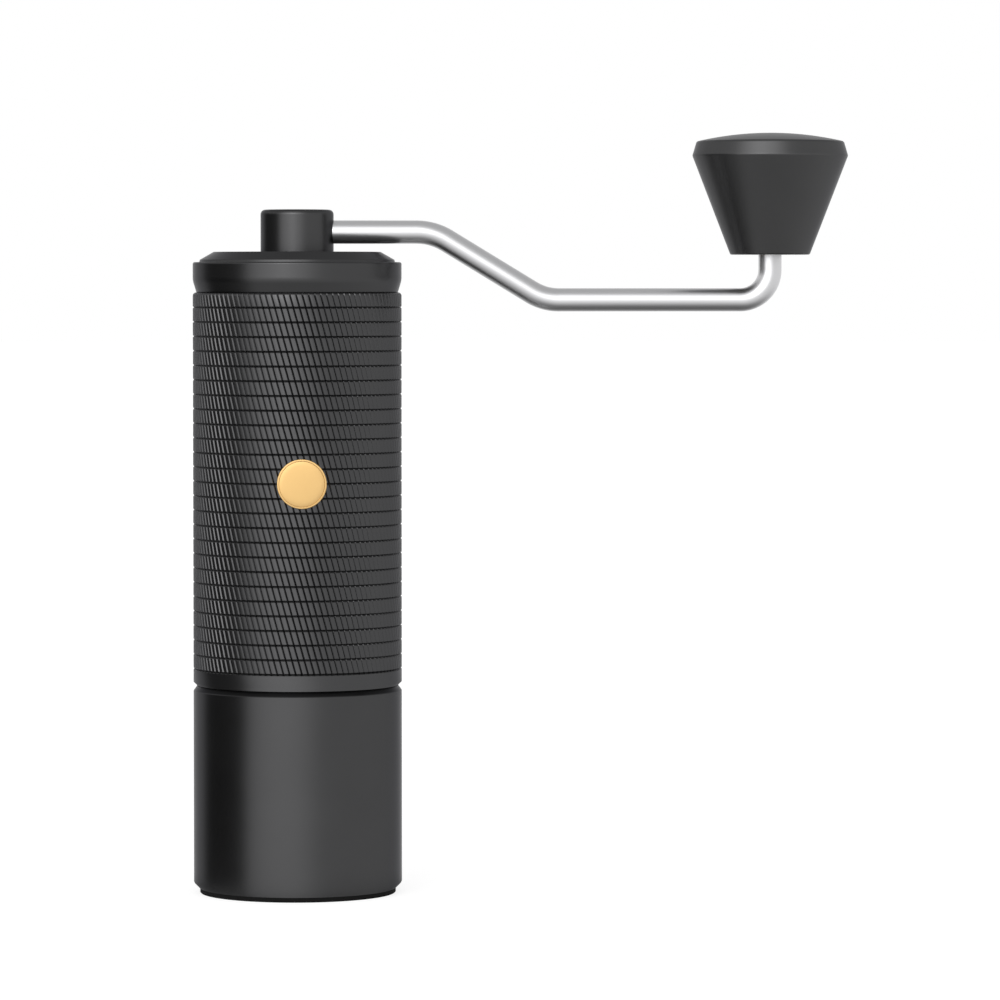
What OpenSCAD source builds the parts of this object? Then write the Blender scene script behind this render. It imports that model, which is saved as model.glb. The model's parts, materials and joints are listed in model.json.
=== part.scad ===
// Hand crank coffee grinder: a knurled grip sleeve with a screw-on cup below, a lid with a
// cranked handle above, and a conical burr set on a shaft between two ball bearings.
// The origin is the centre of the foot, on the shaft's axis, with +Z up and the crank along +X.

/* [Body] */
// Outside diameter of the sleeve, the cup and the lid
body_d = 52; // [51:0.5:60]
// Height of the grip sleeve
sleeve_h = 97.8; // [94:0.1:120]
// Wall of the grip sleeve
sleeve_wall = 2; // [1.8:0.1:2.5]
// Chamfer at the lower end of the sleeve
sleeve_chamfer = 0.85; // [0.4:0.05:1.2]
// Height of one knurled band, from groove to groove
band_pitch = 3.6; // [3:0.1:5]
// Width of a ring groove at the surface
groove_w = 0.6; // [0.4:0.05:0.8]
// Depth of a ring groove
groove_depth = 0.3; // [0.2:0.05:0.5]
// Height from the top groove to the top of the sleeve
top_land = 3.55; // [2:0.05:6]
// Least height of the plain band at the lower end of the sleeve
bottom_land = 4.1; // [3:0.1:8]
// Rounding of the sleeve's top edge
sleeve_round = 0.85; // [0.4:0.05:1.2]
// Diameter of the round badge
badge_d = 12.2; // [8:0.1:14]
// Thickness of the badge
badge_t = 1; // [0.8:0.1:1.2]
// Height of the badge's centre above the lower end of the sleeve
badge_rise = 51; // [30:0.5:70]

/* [Cup] */
// Height of the cup from the table to its rim
cup_h = 51.85; // [48:0.05:70]
// Wall of the cup
cup_wall = 2; // [1.2:0.1:2.2]
// Thickness of the cup's floor
cup_floor = 3; // [2.5:0.1:5]
// Radius between the cup's wall and its floor, inside
cup_fillet = 4; // [2:0.5:6]
// Width of the bevel round the bottom of the cup
cup_bevel = 1.45; // [1:0.05:2.2]
// Thickness of the soft foot that shows below the cup
foot_t = 1.2; // [0.6:0.1:1.8]

/* [Neck] */
// Length of the neck that the cup screws onto
neck_h = 8.4; // [7.5:0.1:10]
// How far the neck is smaller in radius than the sleeve's bore
neck_step = 1; // [0.9:0.05:1.1]
// Gap that shows between the cup's rim and the sleeve
seam = 0.15; // [0.1:0.05:0.4]
// Wall of the neck round the ring burr
neck_wall = 1.67; // [1.4:0.01:2]
// Thickness of the ring seal on the neck
neck_seal_d = 1.3; // [1:0.1:1.4]

/* [Hopper] */
// Wall of the hopper's liner
liner_wall = 1.75; // [1.2:0.05:2]
// Width of the ledge that each bearing bridge sits on
ledge_w = 0.8; // [0.5:0.1:1.2]
// Width of a bridge's spokes
spoke_w = 3.2; // [2.4:0.2:4.5]
// Height of a bridge's spokes
spoke_h = 5; // [3.5:0.5:6]
// Depth of the upper bridge's seat below the top of the sleeve
upper_seat = 18.2; // [17.3:0.1:24]
// Height of the lower bridge's seat above the lower end of the sleeve
lower_seat = 28.6; // [28:0.1:36]

/* [Lid] */
// Height of the lid above the sleeve
lid_h = 10.05; // [9:0.05:14]
// Height of the taper at the lid's lower edge
lid_taper_h = 3; // [1:0.1:4]
// Width of that taper
lid_taper_w = 0.9; // [0.4:0.1:1.2]
// Height of the lid's straight rim from its lower edge
lid_rim_h = 7.5; // [6:0.1:8]
// Width of the step from the rim to the crown
lid_step = 1.6; // [1:0.1:2.2]
// Width of the chamfer round the crown
crown_chamfer = 3.4; // [2:0.1:5]
// Depth that the plug reaches into the sleeve
plug_h = 5.7; // [5:0.1:8]
// Thickness of the seal round the plug
lid_seal_d = 1.5; // [1.2:0.1:1.8]

/* [Crank] */
// Diameter of the hub on the lid
hub_d = 18.2; // [17.5:0.1:22]
// Height of the hub above the lid
hub_h = 10.5; // [9.5:0.1:14]
// Rounding of the hub's top edge
hub_round = 1.2; // [0.5:0.1:2]
// Diameter of the hub's barrel, which turns in the lid
barrel_d = 14.8; // [14:0.1:15.2]
// Diameter of the crank's rod
rod_d = 5.8; // [5.4:0.1:6.4]
// Diameter of the pin that holds the rod in the hub
pin_d = 2.5; // [2:0.1:3]
// Length of rod past the shaft's axis, inside the hub
rod_end = 6.5; // [5:0.1:7]
// Height of the rod's centre above the lid
arm_rise = 4.95; // [4.8:0.05:6]
// Distance from the shaft to the start of the slope
slope_start = 33.9; // [28:0.1:40]
// Distance from the shaft to the end of the slope
slope_end = 61.7; // [55:0.1:70]
// Height that the slope drops
arm_drop = 16.9; // [12:0.1:20]
// Distance from the shaft to the knob's axis
crank_reach = 118.6; // [105:0.1:130]
// Bend radius at the upper end of the slope
bend_upper = 14.5; // [10:0.5:18]
// Bend radius at the lower end of the slope
bend_lower = 13; // [10:0.5:18]
// Bend radius below the knob
bend_knob = 7.5; // [6:0.5:9]

/* [Knob] */
// Height from the rod's low run to the underside of the knob
knob_lift = 11.3; // [10:0.1:16]
// Diameter of the knob at its underside
knob_d_low = 19.9; // [17:0.1:24]
// Largest diameter of the knob
knob_d_high = 39; // [32:0.1:46]
// Height of the knob's cone
knob_cone_h = 24.8; // [23.5:0.1:32]
// Height of the bevel above the cone
knob_bevel_h = 3.55; // [2:0.05:5]
// Width of that bevel
knob_bevel_w = 1.05; // [0.5:0.05:2]
// Rounding of the knob's edges
knob_round = 0.8; // [0.3:0.1:1]
// Rise of the domed cap
knob_dome = 2.15; // [1.5:0.05:3.5]
// Wall of the bushes that the knob turns on
bush_wall = 1.5; // [1.2:0.1:2]
// Length of each of those bushes
bush_h = 5; // [4:0.1:6]
// How far the rod reaches into the knob
spindle_h = 18.3; // [16:0.1:19]
// Diameter of the screw that holds the knob
screw_d = 3; // [2.5:0.1:3.5]
// Length of that screw below its washer
screw_h = 8; // [6:0.1:10]

/* [Shaft and bearings] */
// Diameter of the drive shaft
shaft_d = 8; // [7.8:0.1:8.4]
// Width across the flats of the shaft's six-sided head
head_af = 6.7; // [6.2:0.1:6.7]
// Length of that head
head_h = 19.4; // [13:0.1:20]
// Diameter of the shaft's threaded end
thread_d = 6; // [5:0.1:6.2]
// Pitch of that thread
thread_pitch = 1; // [0.75:0.05:1.25]
// Outside diameter of the ball bearings
bearing_d = 16; // [15.5:0.1:18]
// Width of the ball bearings
bearing_w = 5; // [4.5:0.1:5.2]
// Diameter of the bearing balls
ball_d = 2; // [1.6:0.1:2]
// Number of balls in a bearing
ball_count = 9; // [7:1:10]

/* [Burrs] */
// Height of the inner burr
burr_h = 23.5; // [22:0.1:25]
// Number of blades on the inner burr
blade_count = 7; // [6:1:8]
// Number of fine teeth below each blade and flute
teeth_per_blade = 7; // [5:1:7]
// Width of a blade's land, in tooth pitches
land_teeth = 1.25; // [1:0.25:1.5]
// Depth of the flutes at the top of the inner burr
flute_depth = 4.5; // [3:0.1:4.8]
// Length over which the flutes run out
flute_run = 18.8; // [16:0.1:20]
// Height of a notch in a blade's land
notch_pitch = 2.04; // [1.6:0.02:2.4]
// Depth of those notches
notch_depth = 0.7; // [0.4:0.05:0.9]
// Depth of the fine teeth
tooth_depth = 0.75; // [0.4:0.05:0.9]
// Gap between the burrs, square to the flare
burr_gap = 0.4; // [0.35:0.05:0.6]
// Wall of the ring burr at its mouth
ring_wall = 1.9; // [1.7:0.1:2.2]
// Height of the ring burr
ring_h = 21.2; // [20:0.1:22]
// Number of coarse ribs in the ring burr
rib_count = 8; // [6:1:9]
// Number of fine teeth to each coarse rib
teeth_per_rib = 6; // [4:1:6]
// Height of the threaded ring that holds the ring burr
lock_h = 2.4; // [2:0.1:2.6]
// Height of the floor of the burr's counterbore above its base
counterbore_h = 16.5; // [15.5:0.1:17.5]
// Thickness of the wire of the burr's spring
spring_wire = 0.9; // [0.7:0.05:1]
// Number of turns of the burr's spring
spring_turns = 7; // [5:0.5:8]

/* [Grind adjustment] */
// Diameter of the adjusting dial
dial_d = 24.4; // [22:0.1:28]
// Height of the adjusting dial
dial_h = 6.7; // [6:0.1:7.5]
// Number of grip scallops round the dial
scallop_count = 12; // [8:1:16]
// Diameter of the click plate
click_d = 19; // [18:0.1:22]
// Thickness of the click plate
click_t = 1.3; // [1:0.1:1.6]
// Clicks in one turn of the dial
click_count = 12; // [8:1:16]
// Diameter of the detent balls
detent_d = 2.4; // [2:0.1:2.6]
// Depth of the holes for the detent springs
detent_depth = 4.4; // [4:0.1:5]
// Turns of the dial from its place at rest to the finest grind
turns_finer = 0.3; // [0.1:0.05:0.4]
// Turns of the dial from its place at rest to the coarsest grind
turns_coarser = 1.5; // [1:0.1:1.8]

/* [Clearances] */
// Radial clearance of a running fit
run_fit = 0.05; // [0.03:0.01:0.08]
// Radial clearance of a fixed fit
seat_fit = 0.03; // [0.02:0.01:0.05]
// Gap between pieces that move past each other
free_gap = 0.1; // [0.08:0.01:0.15]

/* [Hidden] */
$fn = 96;
far = 200;
over = 1;
chamfer = 0.5;

black = [0.13, 0.13, 0.14];
dark_plastic = [0.20, 0.20, 0.21];
rubber = [0.08, 0.08, 0.08];
steel = [0.72, 0.73, 0.75];
bright = [0.82, 0.83, 0.84];
gold = [0.93, 0.78, 0.47];

// Radii, from the outside in.
body_r = body_d / 2;
bore_r = body_r - sleeve_wall;
neck_r = bore_r - neck_step;
frame_r = bore_r - seat_fit;
hopper_r = bore_r - liner_wall;
throat_r = hopper_r - ledge_w;
bridge_r = hopper_r - seat_fit;
bridge_rim = 1.4;
shaft_r = shaft_d / 2;
rod_r = rod_d / 2;
barrel_r = barrel_d / 2;
ring_bore_r = neck_r - neck_wall;
ring_r = ring_bore_r - seat_fit;
burr_r = ring_r - ring_wall - burr_gap;

// Heights, from the table up.
lock_inset = 0.2;
burr_overhang = 0.2;
click_gap = 0.15;
lid_seam = 0.1;
foot_z = foot_t;
sleeve_z = cup_h + seam;
sleeve_top = sleeve_z + sleeve_h;
neck_z = sleeve_z - neck_h;
lock_z = neck_z + lock_inset;
ring_z = lock_z + lock_h;
ring_top = ring_z + ring_h;
burr_z = ring_z - burr_overhang;
burr_top = burr_z + burr_h;
click_z = burr_z - click_t;
dial_top = click_z - click_gap;
dial_z = dial_top - dial_h;
lower_bridge_z = sleeve_z + lower_seat;
upper_bridge_z = sleeve_top - upper_seat;
bridge_h = 7;
lid_z = sleeve_top + lid_seam;
lid_top = lid_z + lid_h;
plug_z = sleeve_top - plug_h;
hub_top = lid_top + hub_h;
arm_z = lid_top + arm_rise;
low_arm_z = arm_z - arm_drop;
knob_z = low_arm_z + knob_lift;
knob_cone_top = knob_z + knob_cone_h;
knob_rim = knob_cone_top + knob_bevel_h;

// Grooves of the sleeve, counted down from the top.
groove_count = floor((sleeve_h - top_land - bottom_land) / band_pitch) + 1;

// Bearings and bridges.
race_t = 1.24;
ball_r = ball_d / 2;
ball_ring_r = (shaft_r + bearing_d / 2) / 2;
bearing_floor = 1.6;
bridge_hub_r = bearing_d / 2 + 2;
lower_bearing_z = lower_bridge_z + bearing_floor;
upper_bearing_z = upper_bridge_z + bearing_floor;
washer_r = ball_ring_r - free_gap;
washer_t = 1.2;
washer_room = 0.4;
washer_z = lower_bearing_z - washer_t;
circlip_t = 0.8;
circlip_depth = 0.4;
circlip_lip = 1.1;
clip_play = 0.02;

// Shaft, from its threaded end to its head.
flat_depth = 0.7;
flat_af = shaft_d - 2 * flat_depth;
dial_up = turns_finer * thread_pitch;
dial_down = turns_coarser * thread_pitch;
shaft_end = 0.3;
shaft_z = dial_z - dial_down - shaft_end;
flat_z = click_z - dial_down - 2 * free_gap;
counterbore_z = burr_z + counterbore_h;
flat_spare = 0.4;
flat_top = counterbore_z + dial_up + flat_spare;
socket_wall = 0.3;
socket_spare = 0.5;
socket_fit = 0.2;
socket_top = arm_z - rod_r - socket_wall;
shaft_top = socket_top - socket_spare;
head_z = shaft_top - head_h;
socket_af = head_af + 2 * socket_fit;
barrel_drop = 2.1;
barrel_z = plug_z - barrel_drop;

// Spring round the shaft.
spring_gap = 0.3;
spring_r = shaft_r + spring_gap + spring_wire / 2;
spring_bore_r = spring_r + spring_wire / 2 + spring_gap / 2;
spring_z = counterbore_z + run_fit;
spring_h = washer_z - run_fit - spring_z;

function arc(cx, cy, r, a0, a1, n = 6) =
    [for (i = [0:n]) let (a = a0 + (a1 - a0) * i / n) [cx + r * cos(a), cy + r * sin(a)]];

// The rounded corner at b of an outline that comes from a and goes on to c.
function fillet(a, b, c, r, n = 5) =
    let (u = (a - b) / norm(a - b), v = (c - b) / norm(c - b), half = acos(u * v) / 2,
         start = b + u * r / tan(half), centre = b + (u + v) / norm(u + v) * r / sin(half),
         a0 = atan2(start[1] - centre[1], start[0] - centre[0]),
         turn = (180 - 2 * half) * sign(cross(b - a, c - b)))
    arc(centre[0], centre[1], r, a0, a0 + turn, n);

// A piece turned from a profile of [radius, height] points.
module turned(points) {
    rotate_extrude() polygon(points);
}

module tube(r_out, r_in, z0, z1) {
    turned([[r_in, z0], [r_out, z0], [r_out, z1], [r_in, z1]]);
}

// A six-sided bar with the given width across its flats.
module hex_bar(af, z0, z1) {
    translate([0, 0, z0]) cylinder(h = z1 - z0, r = af / 2 / cos(30), $fn = 6);
}

// A round bar with two flats across X.
module flatted_bar(r, af, z0, z1) {
    intersection() {
        translate([0, 0, z0]) cylinder(h = z1 - z0, r = r);
        translate([-af / 2, -r - over, z0 - over]) cube([af, 2 * (r + over), z1 - z0 + 2 * over]);
    }
}

// ---- Cup ----

cup_in_r = body_r - cup_wall;
cup_bore_r = neck_r + run_fit;
cup_bore_z = neck_z - 1;
seal_room = 0.6;
rim_bore_r = bore_r + seal_room;
rim_bore_z = sleeve_z - neck_seal_d - seal_room;
bore_taper_h = 1.5;
foot_inset = 0.1;
foot_r = body_r - cup_bevel - foot_inset;
foot_edge = 0.2;
foot_boss_r = foot_r - 2.2;
foot_boss_h = 1;
bevel_round = 1;
shoulder = 0.85;

module cup_shell() {
    bevel_z = foot_z + cup_bevel + bevel_round * (sqrt(2) - 1);
    color(black)
    turned(concat(
        [[0, foot_z + foot_boss_h], [foot_boss_r + seat_fit, foot_z + foot_boss_h],
         [foot_boss_r + seat_fit, foot_z], [body_r - cup_bevel, foot_z]],
        arc(body_r - bevel_round, bevel_z, bevel_round, -45, 0),
        arc(body_r - shoulder, cup_h - shoulder, shoulder, 0, 90),
        [[rim_bore_r, cup_h], [rim_bore_r, rim_bore_z], [cup_bore_r, rim_bore_z],
         [cup_bore_r, cup_bore_z], [cup_in_r, cup_bore_z - bore_taper_h]],
        arc(cup_in_r - cup_fillet, foot_z + cup_floor + cup_fillet, cup_fillet, 0, -90),
        [[0, foot_z + cup_floor]]));
}

module cup_foot() {
    color(rubber)
    turned([[0, 0], [foot_r - foot_edge, 0], [foot_r, foot_edge], [foot_r, foot_z],
            [foot_boss_r, foot_z], [foot_boss_r, foot_z + foot_boss_h], [0, foot_z + foot_boss_h]]);
}

module neck_seal() {
    color(rubber)
    rotate_extrude()
    translate([neck_r + free_gap + neck_seal_d / 2, sleeve_z - free_gap - neck_seal_d / 2])
    circle(d = neck_seal_d);
}

// ---- Sleeve, hopper and burr housing ----

// One ring groove in the sleeve's outline, from its lower lip to its upper lip.
function ring_groove(z) =
    [[body_r, z - groove_w / 2], [body_r - groove_depth, z], [body_r, z + groove_w / 2]];

badge_z = sleeve_z + badge_rise;
badge_back = body_r - badge_t;

module body_sleeve() {
    color(black)
    difference() {
        turned(concat(
            [[bore_r, sleeve_z], [body_r - sleeve_chamfer, sleeve_z],
             [body_r, sleeve_z + sleeve_chamfer]],
            [for (k = [groove_count - 1:-1:0], p = ring_groove(sleeve_top - top_land - k * band_pitch)) p],
            arc(body_r - sleeve_round, sleeve_top - sleeve_round, sleeve_round, 0, 90),
            [[bore_r, sleeve_top]]));
        translate([0, -badge_back, badge_z]) rotate([90, 0, 0])
            cylinder(h = badge_t + over, r = badge_d / 2 + seat_fit);
    }
}

module badge() {
    edge = 0.1;
    step_t = 0.15;
    rim_w = 0.5;
    color(gold)
    translate([0, -badge_back, badge_z]) rotate([90, 0, 0])
    turned([[0, 0], [badge_d / 2, 0], [badge_d / 2, badge_t - edge], [badge_d / 2 - edge, badge_t],
            [badge_d / 2 - rim_w, badge_t], [badge_d / 2 - rim_w - step_t, badge_t - step_t],
            [0, badge_t - step_t]]);
}

module hopper_liner() {
    liner_z = lower_bridge_z + bridge_h + 1;
    plug_gap = 0.6;
    liner_top = plug_z - plug_gap;
    color(dark_plastic)
    turned([[throat_r, liner_z], [frame_r, liner_z], [frame_r, liner_top],
            [hopper_r + chamfer, liner_top], [hopper_r, liner_top - chamfer],
            [hopper_r, upper_bridge_z], [throat_r, upper_bridge_z]]);
}

// The turned frame inside the lower end of the sleeve. Its neck carries the cup.
module burr_housing() {
    lip_h = 1.5;
    lip_w = 1.3;
    lip_r = ring_r - lip_w;
    housing_top = lower_bridge_z + bridge_h + 1;
    color(black)
    turned([[ring_bore_r, neck_z], [neck_r - chamfer, neck_z], [neck_r, neck_z + chamfer],
            [neck_r, sleeve_z], [frame_r, sleeve_z], [frame_r, housing_top],
            [hopper_r, housing_top], [hopper_r, lower_bridge_z], [throat_r, lower_bridge_z],
            [lip_r, ring_top + lip_h], [lip_r, ring_top], [ring_bore_r, ring_top]]);
}

// A three-armed bridge across the hopper. Its hub holds a bearing from above.
module bearing_bridge(z, hole_r) {
    root = 1;
    lift = 0.8;
    ridge_w = 0.8;
    difference() {
        union() {
            tube(bridge_r, bridge_r - bridge_rim, z, z + bridge_h);
            translate([0, 0, z]) cylinder(h = bridge_h, r = bridge_hub_r);
            for (a = [90, 210, 330])
                rotate([0, 0, a])
                translate([bridge_hub_r - root, 0, z + lift])
                rotate([90, 0, 90])
                linear_extrude(height = bridge_r - bridge_rim / 2 - bridge_hub_r + root)
                polygon([[-spoke_w / 2, 0], [spoke_w / 2, 0], [spoke_w / 2, spoke_h - spoke_w / 2],
                         [ridge_w / 2, spoke_h], [-ridge_w / 2, spoke_h], [-spoke_w / 2, spoke_h - spoke_w / 2]]);
        }
        translate([0, 0, z + bearing_floor]) cylinder(h = bridge_h, r = bearing_d / 2 + seat_fit);
        translate([0, 0, z - over]) cylinder(h = bridge_h, r = hole_r);
    }
}

module upper_spider() {
    color(bright) bearing_bridge(upper_bridge_z, ball_ring_r);
}

module lower_spider() {
    color(bright) bearing_bridge(lower_bridge_z, washer_r + washer_room);
}

module burr_lock_ring() {
    slot_w = 2.4;
    slot_depth = 1.1;
    edge = 0.3;
    in_r = burr_r + 0.9;
    color(steel)
    difference() {
        turned([[in_r, lock_z], [ring_r - edge, lock_z], [ring_r, lock_z + edge],
                [ring_r, ring_z], [in_r, ring_z]]);
        for (a = [0, 90])
            rotate([0, 0, a])
            translate([-far / 2, -slot_w / 2, lock_z - over]) cube([far, slot_w, over + slot_depth]);
    }
}

// ---- Ball bearings ----

module outer_race(z) {
    color(bright)
    difference() {
        tube(bearing_d / 2, bearing_d / 2 - race_t, z, z + bearing_w);
        ball_groove(z);
    }
}

module inner_race(z) {
    color(bright)
    difference() {
        tube(shaft_r + seat_fit + race_t, shaft_r + seat_fit, z, z + bearing_w);
        ball_groove(z);
    }
}

module ball_groove(z) {
    rotate_extrude() translate([ball_ring_r, z + bearing_w / 2]) circle(r = ball_r + run_fit);
}

module ball_row(z) {
    color(steel)
    for (k = [0:ball_count - 1])
        rotate([0, 0, k * 360 / ball_count])
        translate([ball_ring_r, 0, z + bearing_w / 2]) sphere(r = ball_r);
}

module ball_cage(z) {
    cage_t = 0.6;
    cage_h = 2 * ball_r + 1;
    cage_z = z + (bearing_w - cage_h) / 2;
    color(gold)
    difference() {
        tube(ball_ring_r + cage_t / 2, ball_ring_r - cage_t / 2, cage_z, cage_z + cage_h);
        for (k = [0:ball_count - 1])
            rotate([0, 0, k * 360 / ball_count])
            translate([ball_ring_r - 2 * cage_t, 0, z + bearing_w / 2]) rotate([0, 90, 0])
            cylinder(h = 4 * cage_t, r = ball_r + run_fit);
    }
}

module shield_pair(z) {
    shield_t = 0.25;
    in_r = shaft_r + seat_fit + race_t + free_gap;
    out_r = bearing_d / 2 - race_t - seat_fit;
    color(steel)
    for (s = [z + free_gap, z + bearing_w - free_gap - shield_t])
        tube(out_r, in_r, s, s + shield_t);
}

module upper_bearing_outer() { outer_race(upper_bearing_z); }
module upper_bearing_inner() { inner_race(upper_bearing_z); }
module upper_bearing_balls() { ball_row(upper_bearing_z); }
module upper_bearing_cage() { ball_cage(upper_bearing_z); }
module upper_bearing_shields() { shield_pair(upper_bearing_z); }
module lower_bearing_outer() { outer_race(lower_bearing_z); }
module lower_bearing_inner() { inner_race(lower_bearing_z); }
module lower_bearing_balls() { ball_row(lower_bearing_z); }
module lower_bearing_cage() { ball_cage(lower_bearing_z); }
module lower_bearing_shields() { shield_pair(lower_bearing_z); }

// ---- Drive shaft ----

clip_heights = [upper_bearing_z + bearing_w, lower_bearing_z + bearing_w];

module drive_shaft() {
    tip = 0.8;
    thread_tip = 0.4;
    color(steel)
    difference() {
        union() {
            turned([[0, shaft_z], [thread_d / 2 - thread_tip, shaft_z], [thread_d / 2, shaft_z + thread_tip],
                    [thread_d / 2, flat_z], [0, flat_z]]);
            flatted_bar(shaft_r, flat_af, flat_z, flat_top);
            translate([0, 0, flat_top]) cylinder(h = head_z - flat_top, r = shaft_r);
            intersection() {
                hex_bar(head_af, head_z, shaft_top);
                turned([[0, head_z], [shaft_r, head_z], [shaft_r, shaft_top - tip],
                        [shaft_r - tip, shaft_top], [0, shaft_top]]);
            }
        }
        for (z = clip_heights)
            tube(shaft_r + over, shaft_r - circlip_depth, z, z + circlip_t);
    }
}

// An open ring clip in a shaft's groove.
module circlip(groove_r, out_r, z, t, gap_w) {
    difference() {
        tube(out_r, groove_r + seat_fit, z, z + t);
        translate([0, -gap_w / 2, z - over]) cube([out_r + over, gap_w, t + 2 * over]);
    }
}

module shaft_circlips() {
    color(steel)
    for (z = clip_heights)
        circlip(shaft_r - circlip_depth, shaft_r + circlip_lip, z + clip_play,
                circlip_t - 2 * clip_play, 3);
}

module spring_washer() {
    color(steel) tube(washer_r, shaft_r + seat_fit, washer_z, lower_bearing_z);
}

// ---- Inner burr ----

blade_pitch = 360 / blade_count;
tooth_pitch = blade_pitch / teeth_per_blade;
land_angle = land_teeth * tooth_pitch;
land_end = 9;
rim_h = 0.7;
twist_start = 1.05;
twist_gain = 0.031;
valley_start = 0.52;
valley_lag = 0.75;
tooth_run_in = 3;
tooth_run_out = 1.2;
steep = 0.25;
bore_bevel = 0.6;

// Outline of the inner burr: distance below its top, and radius. It is scaled to the burr's size.
burr_outline = [
    [0, 12.5], [3.4, 12.6], [6.8, 13.4], [8.7, 14.3], [13.2, 14.8],
    [16, 15.5], [19.9, 17.1], [22, 18.6], [23.5, 19]];
outline_h = burr_outline[len(burr_outline) - 1][0];
outline_r = burr_outline[len(burr_outline) - 1][1];
function burr_line(u) = lookup(u * outline_h / burr_h, burr_outline) * burr_r / outline_r;

// How far the blades have turned at a distance below the top.
function burr_twist(u) = twist_start * u + twist_gain * u * u;

// Where a flute is deepest, from 0 at the blade before it to 1 at the blade after it.
flute_valley = (tooth_pitch * (teeth_per_blade - valley_lag) - land_angle) / (blade_pitch - land_angle);
function valley(u) = valley_start + (flute_valley - valley_start) * sin(90 * min(1, u / land_end));

// A V across a flute: 0 at both blades and 1 at its valley.
function vee(s, top) = s <= 0 ? 0 : s < top ? s / top : (1 - s) / (1 - top);

// A saw tooth: its steep side takes the first quarter of the pitch.
function saw(phase) = phase < steep ? 1 - phase / steep : (phase - steep) / (1 - steep);

// The notches in a blade's land, from 0 at a crest to 1 at a root.
function notch(u) = let (p = u / notch_pitch - floor(u / notch_pitch)) 1 - abs(2 * p - 1);

function burr_cut(angle, u) =
    let (s = (angle - land_angle) / (blade_pitch - land_angle),
         flute = flute_depth * max(0, 1 - u / flute_run) * vee(s, valley(u)),
         p = angle / tooth_pitch,
         grow = max(0, min(1, (u - land_end) / tooth_run_in))
                * min(1, max(0, (burr_h - rim_h - u) / tooth_run_out)),
         tooth = tooth_depth * grow * saw(p - floor(p)))
    max(flute, u < land_end ? notch_depth * notch(u) : tooth);

// Places of the columns within one blade's pitch: three to a tooth, with one on the valley.
columns = 3 * teeth_per_blade;
valley_column = 3 * (teeth_per_blade - 1) + 1;
function place(i) = tooth_pitch * (floor(i / 3) + [0, steep, (1 + steep) / 2][i % 3]);
function column_angle(i, u) =
    let (a = place(i), v0 = place(valley_column),
         v = land_angle + valley(u) * (blade_pitch - land_angle))
    a <= land_angle ? a
    : a <= v0 ? land_angle + (a - land_angle) * (v - land_angle) / (v0 - land_angle)
    : v + (a - v0) * (blade_pitch - v) / (blade_pitch - v0);

// Rows down the burr: one on each crest and root of the notches, then evenly to the rim.
notch_rows = floor(2 * (land_end - 0.01) / notch_pitch);
lower_rows = 11;
burr_rows = concat(
    [for (k = [0:notch_rows]) k * notch_pitch / 2],
    [for (k = [0:lower_rows]) land_end + (burr_h - rim_h - land_end) * k / lower_rows],
    [burr_h]);

// The closed skin over rows of points. Each row is one turn, clockwise seen from the row after it.
module rings(rows) {
    n = len(rows[0]);
    m = len(rows);
    polyhedron(
        points = [for (row = rows, p = row) p],
        faces = concat(
            [for (j = [0:m - 2], i = [0:n - 1])
                let (a = j * n, b = (j + 1) * n, k = (i + 1) % n) [a + i, a + k, b + k]],
            [for (j = [0:m - 2], i = [0:n - 1])
                let (a = j * n, b = (j + 1) * n, k = (i + 1) % n) [a + i, b + k, b + i]],
            [[for (i = [n - 1:-1:0]) i], [for (i = [0:n - 1]) (m - 1) * n + i]]));
}

// The toothed skin of the inner burr. It runs past both ends of the burr.
module burr_skin() {
    rings([for (row = concat([-over], burr_rows, [burr_h + over]))
        let (u = max(0, min(burr_h, row)))
        [for (b = [0:blade_count - 1], i = [0:columns - 1])
            let (a = column_angle(i, u), t = b * blade_pitch + a + burr_twist(u),
                 r = burr_line(u) - burr_cut(a, u))
            [r * cos(t), r * sin(t), burr_top - row]]]);
}

module inner_burr() {
    color(steel)
    difference() {
        intersection() {
            burr_skin();
            translate([0, 0, burr_z]) cylinder(h = burr_h, r = burr_r + over);
        }
        flatted_bar(shaft_r + run_fit, flat_af + 2 * run_fit, burr_z - over, counterbore_z + over / 2);
        turned([[0, counterbore_z], [spring_bore_r, counterbore_z], [spring_bore_r, burr_top - bore_bevel],
                [spring_bore_r + bore_bevel + over, burr_top + over], [0, burr_top + over]]);
    }
}

// ---- Ring burr ----

// Crest line of the ring burr: height above its base, and radius before the gap is added.
// It is scaled with the inner burr.
ring_outline = [
    [0, 19], [1.3, 18.65], [3.4, 17.4], [7.3, 15.9], [10.2, 15.4], [14.6, 15.7], [18.3, 16.8],
    [21.2, 18.1]];
ring_outline_h = ring_outline[len(ring_outline) - 1][0];
function ring_line(h) =
    burr_gap + lookup(h * ring_outline_h / ring_h, ring_outline) * burr_r / outline_r;
ring_turn = 1.6;
rib_depth = 2;
rib_lean = 0.75;
fine_run_out = 4;
function ring_twist(h) = ring_turn * h;
rib_pitch = 360 / rib_count;

function ring_cut(angle, h) =
    let (fine_h = 0.55 * ring_h,
         coarse = rib_depth * max(0, min(1, (h - 0.25 * ring_h) / (0.5 * ring_h)))
                  * vee(angle / rib_pitch, rib_lean),
         p = angle * teeth_per_rib / rib_pitch,
         fine = tooth_depth * min(1, max(0, (fine_h - h) / fine_run_out)) * saw(p - floor(p)))
    min(max(coarse, fine), ring_r - 1 - ring_line(h));

ring_steps = 13;
ring_columns = 2 * teeth_per_rib;

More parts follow.
